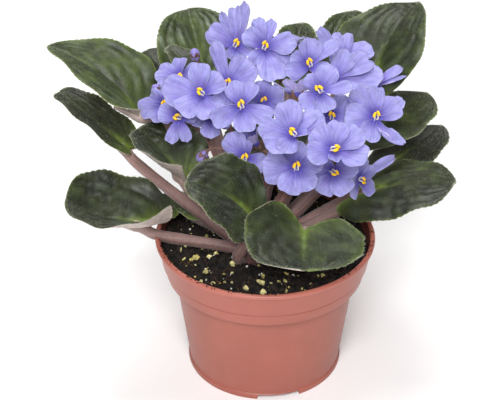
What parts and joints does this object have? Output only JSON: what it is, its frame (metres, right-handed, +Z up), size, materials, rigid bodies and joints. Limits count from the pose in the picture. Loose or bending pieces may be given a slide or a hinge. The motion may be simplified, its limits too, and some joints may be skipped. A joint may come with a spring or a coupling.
{
  "type": "potted african violet",
  "caption": "Potted african violet: heart-shaped hairy leaves on long stalks round a dome of lavender flowers, in a round terracotta-coloured plastic pot full of dark soil.",
  "frame": {"origin": "middle of the pot's underside, on the surface it stands on", "axes": "+Z up along the pot's axis, -Y towards the front that the picture shows, +X to that front's right"},
  "size_m": [0.2304, 0.1954, 0.1793],
  "materials": {
    "pot": "matte moulded plastic in terracotta red",
    "soil": "rough dark peat mix with pale vermiculite bits",
    "leaf": "dark green, velvety with short hairs",
    "stalk": "mauve-brown fleshy stalk with short hairs",
    "flower_stalk": "brown-mauve thin stalk and calyx",
    "petal": "soft matte lavender petal"
  },
  "bodies": {
    "root": {"pot": "pot", "soil": "soil", "crown_and_leaf_stalks": "stalk", "leaf_01": "leaf", "leaf_02": "leaf", "leaf_03": "leaf", "leaf_04": "leaf", "leaf_05": "leaf", "leaf_06": "leaf", "leaf_07": "leaf", "leaf_08": "leaf", "leaf_09": "leaf", "leaf_10": "leaf", "leaf_11": "leaf", "leaf_12": "leaf", "leaf_13": "leaf", "leaf_14": "leaf", "leaf_15": "leaf", "leaf_16": "leaf", "leaf_17": "leaf", "leaf_18": "leaf", "flower_stem_1": "flower_stalk", "flower_stem_2": "flower_stalk", "flower_stem_3": "flower_stalk", "flower_stem_4": "flower_stalk", "flower_stem_5": "flower_stalk", "flower_stem_6": "flower_stalk", "flower_01": "petal", "flower_02": "petal", "flower_03": "petal", "flower_04": "petal", "flower_05": "petal", "flower_06": "petal", "flower_07": "petal", "flower_08": "petal", "flower_09": "petal", "flower_10": "petal", "flower_11": "petal", "flower_12": "petal", "flower_13": "petal", "flower_14": "petal", "flower_15": "petal", "flower_16": "petal", "flower_17": "petal", "flower_18": "petal", "flower_19": "petal", "flower_20": "petal", "flower_21": "petal", "flower_22": "petal", "flower_23": "petal", "flower_24": "petal", "flower_25": "petal", "flower_26": "petal"}
  },
  "joints": []
}
